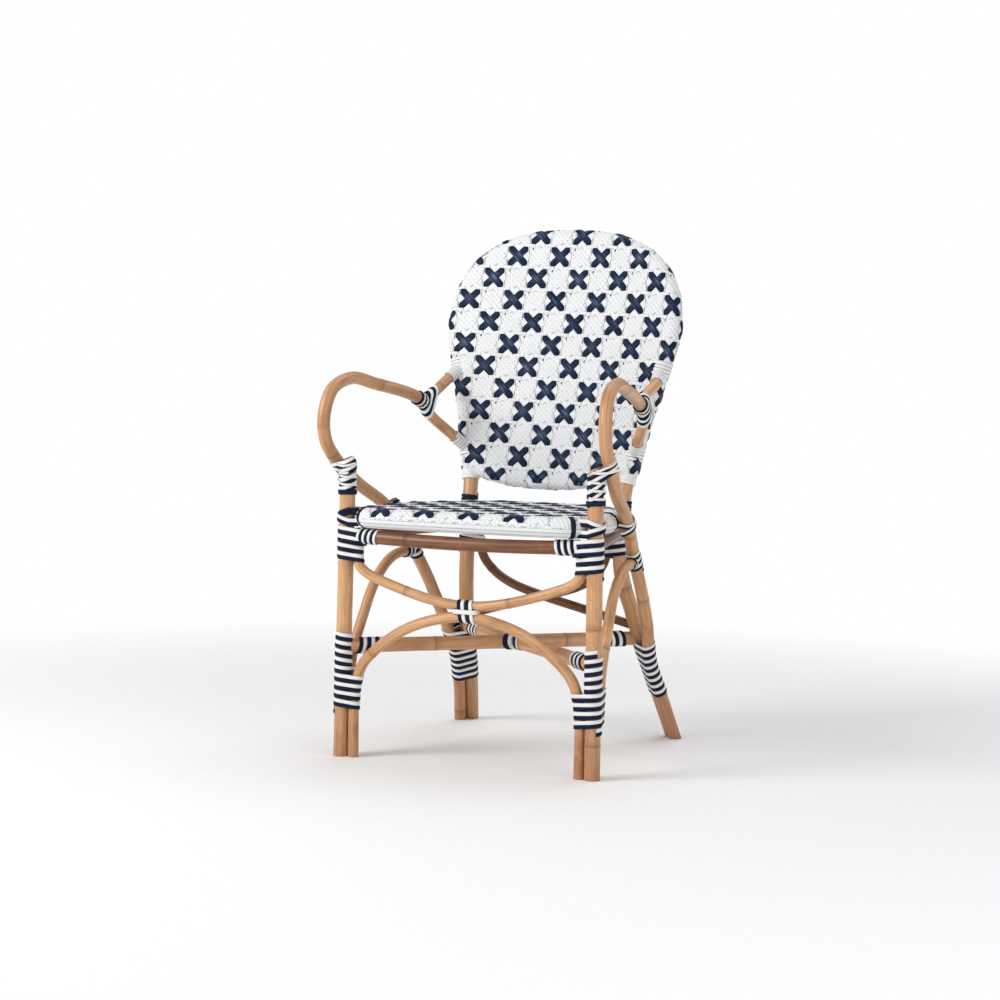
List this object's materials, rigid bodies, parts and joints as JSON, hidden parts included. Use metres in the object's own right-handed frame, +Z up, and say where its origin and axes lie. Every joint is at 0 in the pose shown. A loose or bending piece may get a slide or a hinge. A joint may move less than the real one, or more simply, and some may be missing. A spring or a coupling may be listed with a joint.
{
  "type": "rattan bistro armchair",
  "caption": "Bent rattan pole armchair with a rounded high back, seat and back woven in a white and navy cross pattern, open arms, striped strand bindings and braced legs",
  "frame": {"origin": "On the floor, in the middle of the chair's bounding box in plan.", "axes": "+Z up, +X towards the chair's right side seen from the front, -Y towards the front."},
  "size_m": [0.548, 0.566, 0.9508],
  "materials": {
    "rattan": "varnished peeled rattan pole, honey brown",
    "rattan_dark": "varnished peeled rattan pole, darker brown",
    "weave": "glossy flat strands woven close, off-white with navy crosses",
    "strand": "glossy flat strands wound side by side, navy and off-white"
  },
  "bodies": {
    "root": {"back_hoop_and_rear_legs": "rattan", "back_lower_rail": "rattan", "seat_ring": "rattan", "stretcher_from_left": "rattan", "stretcher_from_right": "rattan", "front_arch": "rattan", "front_bow": "rattan", "front_apron": "rattan_dark", "rear_apron": "rattan_dark", "front_leg_left": "rattan", "arm_bracket_left": "rattan", "arm_and_brace_left": "rattan", "side_apron_left": "rattan_dark", "side_brace_left": "rattan", "rear_cross_left": "rattan_dark", "front_leg_right": "rattan", "arm_bracket_right": "rattan", "arm_and_brace_right": "rattan", "side_apron_right": "rattan_dark", "side_brace_right": "rattan", "rear_cross_right": "rattan_dark", "seat_weave": "weave", "back_weave": "weave", "front_foot_binding_left": "strand", "rear_foot_binding_left": "strand", "front_top_binding_left": "strand", "rear_top_binding_left": "strand", "arm_front_binding_left": "strand", "arm_back_binding_left": "strand", "brace_end_binding_left": "strand", "front_stub_binding_left": "strand", "rear_stub_binding_left": "strand", "apron_binding_left": "strand", "seat_tie_front_left": "strand", "seat_tie_side_left": "strand", "seat_tie_rear_left": "strand", "front_foot_binding_right": "strand", "rear_foot_binding_right": "strand", "front_top_binding_right": "strand", "rear_top_binding_right": "strand", "arm_front_binding_right": "strand", "arm_back_binding_right": "strand", "brace_end_binding_right": "strand", "front_stub_binding_right": "strand", "rear_stub_binding_right": "strand", "apron_binding_right": "strand", "seat_tie_front_right": "strand", "seat_tie_side_right": "strand", "seat_tie_rear_right": "strand", "arch_and_bow_binding": "strand", "stretcher_crossing_binding": "strand"}
  },
  "joints": []
}
